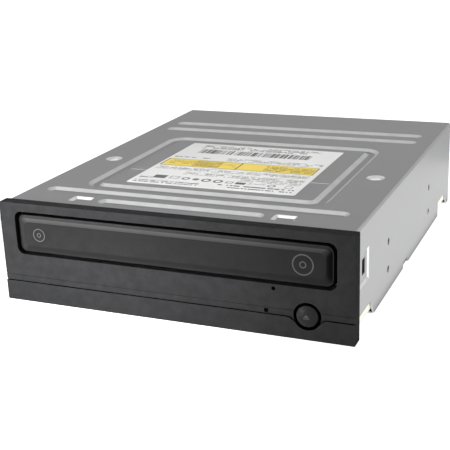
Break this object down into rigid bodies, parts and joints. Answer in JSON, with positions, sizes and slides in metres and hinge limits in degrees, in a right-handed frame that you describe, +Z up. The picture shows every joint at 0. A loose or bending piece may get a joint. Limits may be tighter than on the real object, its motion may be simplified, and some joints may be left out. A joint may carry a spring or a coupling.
{
  "type": "dvd-rom drive",
  "caption": "Half-height disc drive with a sliding tray, eject button, pressed steel cover and rear sockets.",
  "frame": {"origin": "middle of the footprint, level with the lower edge of the front plate", "axes": "+Y towards the rear connectors, +Z up, +X to the right seen from the front"},
  "size_m": [0.1482, 0.1848, 0.042],
  "materials": {
    "cover_steel": "satin zinc-plated sheet steel",
    "bright_steel": "turned or drawn steel",
    "label_paper": "matt printed paper",
    "front_plastic": "fine-grained black moulding",
    "frame_plastic": "cream moulding",
    "tray_plastic": "black moulding",
    "gear_plastic": "white acetal",
    "dark_plastic": "black moulding",
    "white_plastic": "natural nylon",
    "belt_rubber": "rubber",
    "board_green": "solder mask",
    "clear_plastic": "clear moulding",
    "pin_gold": "gold-plated brass",
    "magnet_grey": "sintered magnet and motor laminations"
  },
  "bodies": {
    "case": {"audio_connector": "dark_plastic", "audio_pins": "pin_gold", "board_capacitors": "dark_plastic", "board_chips": "dark_plastic", "board_screws": "bright_steel", "bottom_cover": "cover_steel", "bridge_screws": "bright_steel", "clamp_bridge": "cover_steel", "cover_screws": "bright_steel", "data_connector": "dark_plastic", "data_pins": "pin_gold", "drive_belt": "belt_rubber", "eject_switch": "dark_plastic", "front_bezel": "front_plastic", "front_board": "board_green", "jumper_block": "dark_plastic", "jumper_pins": "pin_gold", "lamp": "clear_plastic", "lamp_pipe": "clear_plastic", "loading_motor": "bright_steel", "main_board": "board_green", "main_frame": "frame_plastic", "power_connector": "white_plastic", "power_pins": "pin_gold", "rating_label": "label_paper", "top_cover": "cover_steel"},
    "tray": {"disc_tray": "tray_plastic", "tray_door": "front_plastic"},
    "tray_drive_gear": {"tray_gear": "gear_plastic"},
    "idler": {"idler_gear": "gear_plastic"},
    "belt_pulley": {"pulley_gear": "gear_plastic"},
    "motor_rotor": {"motor_pulley": "gear_plastic", "motor_shaft": "bright_steel"},
    "button": {"eject_button": "front_plastic"},
    "plunger": {"switch_plunger": "gear_plastic"},
    "cam": {"cam_slider": "gear_plastic"},
    "lift": {"lift_frame": "dark_plastic", "deck_dampers": "belt_rubber", "damper_screws": "bright_steel", "traverse_deck": "cover_steel", "guide_rods": "bright_steel", "feed_motor": "bright_steel", "spindle_motor": "magnet_grey"},
    "spindle": {"spindle_rotor": "bright_steel", "turntable": "dark_plastic", "turntable_ring": "belt_rubber"},
    "pickup": {"pickup_body": "dark_plastic", "pickup_cover": "bright_steel", "feed_nut": "gear_plastic"},
    "lens": {"lens_holder": "dark_plastic", "objective_lens": "clear_plastic"},
    "feed_screw": {"lead_screw": "bright_steel"},
    "clamp": {"clamper": "dark_plastic", "clamper_magnet": "magnet_grey", "clamper_yoke": "bright_steel"}
  },
  "joints": [
    {"name": "tray_slide", "type": "slide", "parent": "case", "child": "tray", "axis": [0, -1, 0], "range_m": [0, 0.134]},
    {"name": "tray_gear_turn", "type": "hinge", "parent": "case", "child": "tray_drive_gear", "pos_m": [-0.04, -0.067, 0.015], "axis": [0, 0, 1], "range_deg": [0, 641.8]},
    {"name": "idler_turn", "type": "hinge", "parent": "case", "child": "idler", "pos_m": [-0.022, -0.067, 0.012], "axis": [0, 0, 1], "range_deg": [-1281.6, 0]},
    {"name": "belt_pulley_turn", "type": "hinge", "parent": "case", "child": "belt_pulley", "pos_m": [-0.004, -0.067, 0.016], "axis": [0, 0, 1], "range_deg": [0, 3957.1]},
    {"name": "motor_turn", "type": "hinge", "parent": "case", "child": "motor_rotor", "pos_m": [0.02, -0.067, 0.018], "axis": [0, 0, 1], "range_deg": [0, 16077.8]},
    {"name": "eject_press", "type": "slide", "parent": "case", "child": "button", "axis": [0, 1, 0], "range_m": [0, 0.001], "stiffness_N_per_m": 400, "springref_m": -0.0005},
    {"name": "plunger_press", "type": "slide", "parent": "case", "child": "plunger", "axis": [0, 1, 0], "range_m": [0, 0.001]},
    {"name": "lift_swing", "type": "hinge", "parent": "case", "child": "lift", "pos_m": [0, 0.069, 0.018], "axis": [1, 0, 0], "range_deg": [0, 4]},
    {"name": "cam_slide", "type": "slide", "parent": "case", "child": "cam", "axis": [1, 0, 0], "range_m": [0, 0.0182]},
    {"name": "spindle_turn", "type": "hinge", "parent": "lift", "child": "spindle", "pos_m": [0, -0.016, 0.028], "axis": [0, 0, 1], "continuous": true},
    {"name": "pickup_slide", "type": "slide", "parent": "lift", "child": "pickup", "axis": [0, 1, 0], "range_m": [0, 0.036]},
    {"name": "feed_screw_turn", "type": "hinge", "parent": "lift", "child": "feed_screw", "pos_m": [-0.0362, 0.009, 0.0246], "axis": [0, 1, 0], "range_deg": [0, 4325]},
    {"name": "lens_focus", "type": "slide", "parent": "pickup", "child": "lens", "axis": [0, 0, 1], "range_m": [-0.0005, 0.0005], "stiffness_N_per_m": 30},
    {"name": "clamper_turn", "type": "hinge", "parent": "case", "child": "clamp", "pos_m": [0, -0.016, 0.036], "axis": [0, 0, 1], "continuous": true}
  ],
  "couplings": [
    {"joint": "tray_gear_turn", "follows": "tray_slide", "rad_per_m": 83.333},
    {"joint": "idler_turn", "follows": "tray_slide", "rad_per_m": -166.67},
    {"joint": "belt_pulley_turn", "follows": "tray_slide", "rad_per_m": 515.15},
    {"joint": "motor_turn", "follows": "tray_slide", "rad_per_m": 2093.8},
    {"joint": "plunger_press", "follows": "eject_press", "ratio": 1},
    {"joint": "cam_slide", "follows": "lift_swing", "m_per_rad": 0.25783},
    {"joint": "feed_screw_turn", "follows": "pickup_slide", "rad_per_m": 2094.4},
    {"joint": "clamper_turn", "follows": "spindle_turn", "ratio": 1}
  ]
}
